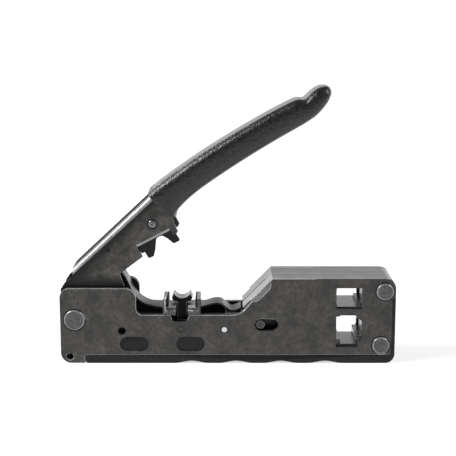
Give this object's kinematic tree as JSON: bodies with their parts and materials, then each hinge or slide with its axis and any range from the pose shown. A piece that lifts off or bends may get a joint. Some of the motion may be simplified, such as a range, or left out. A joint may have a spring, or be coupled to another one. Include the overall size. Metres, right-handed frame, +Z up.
{
  "type": "rj45 crimping tool",
  "caption": "Hand crimping tool for modular plugs: two side plates, sprung lever handle with soft grip, plug nests, sliding contact ram, and an arched cable die over a saddle.",
  "frame": {"origin": "centre of the body's underside footprint, midway across the tool", "axes": "+X along the body towards the plug head, +Y away from the face that shows the slot and the ring pin, +Z up"},
  "size_m": [0.132, 0.0206, 0.1095],
  "materials": {
    "plate_steel": "black oxide, satin, slightly mottled",
    "rivet_steel": "black oxide with worn bright rims",
    "grip_plastic": "moulded matte black nylon",
    "cover_plastic": "moulded satin black nylon",
    "nest_steel": "ground steel",
    "cradle_steel": "grey sintered steel, granular",
    "die_steel": "blackened tool steel",
    "bright_steel": "bright ground pin",
    "spring_steel": "tempered grey spring steel",
    "handle_steel": "black oxide folded sheet",
    "sleeve_pvc": "soft textured black PVC",
    "comb_steel": "hardened ground steel"
  },
  "bodies": {
    "frame": {"near_side_plate": "plate_steel", "far_side_plate": "plate_steel", "pivot_rivet": "rivet_steel", "head_rivet_top": "rivet_steel", "head_rivet_bottom": "rivet_steel", "grip_insert": "grip_plastic", "head_cover": "cover_plastic", "end_block": "plate_steel", "nest_rj45": "nest_steel", "nest_rj11": "nest_steel", "cradle_frame": "cradle_steel", "lower_die": "die_steel", "lower_die_pin": "rivet_steel", "guide_pin": "bright_steel", "leaf_spring": "spring_steel"},
    "handle": {"handle_channel": "handle_steel", "handle_bush": "spring_steel", "grip_sleeve": "sleeve_pvc", "upper_die": "die_steel", "die_screw": "rivet_steel", "die_nut": "rivet_steel", "link_pin": "spring_steel", "link_spacers": "spring_steel"},
    "link": {"drive_link": "handle_steel"},
    "ram": {"ram_bar": "handle_steel", "ram_link_pin": "rivet_steel", "ram_slot_pin": "rivet_steel", "ram_head": "handle_steel", "comb_rj45": "comb_steel", "comb_rj11": "comb_steel"}
  },
  "joints": [
    {"name": "handle_pivot", "type": "hinge", "parent": "frame", "child": "handle", "pos_m": [-0.06027, 0, 0.01779], "axis": [0, 1, 0], "range_deg": [0, 27.5], "stiffness_Nm_per_rad": 1, "springref_deg": -28.65, "deforming": ["leaf_spring"]},
    {"name": "link_pivot", "type": "hinge", "parent": "handle", "child": "link", "pos_m": [-0.06233, 0, 0.02622], "axis": [0, 1, 0], "range_deg": [-28, 0.5]},
    {"name": "ram_slide", "type": "slide", "parent": "frame", "child": "ram", "axis": [1, 0, 0], "range_m": [0, 0.00415]}
  ],
  "couplings": [
    {"joint": "link_pivot", "follows": "handle_pivot", "ratio": -1},
    {"joint": "ram_slide", "follows": "handle_pivot", "m_per_rad": 0.0085969}
  ]
}
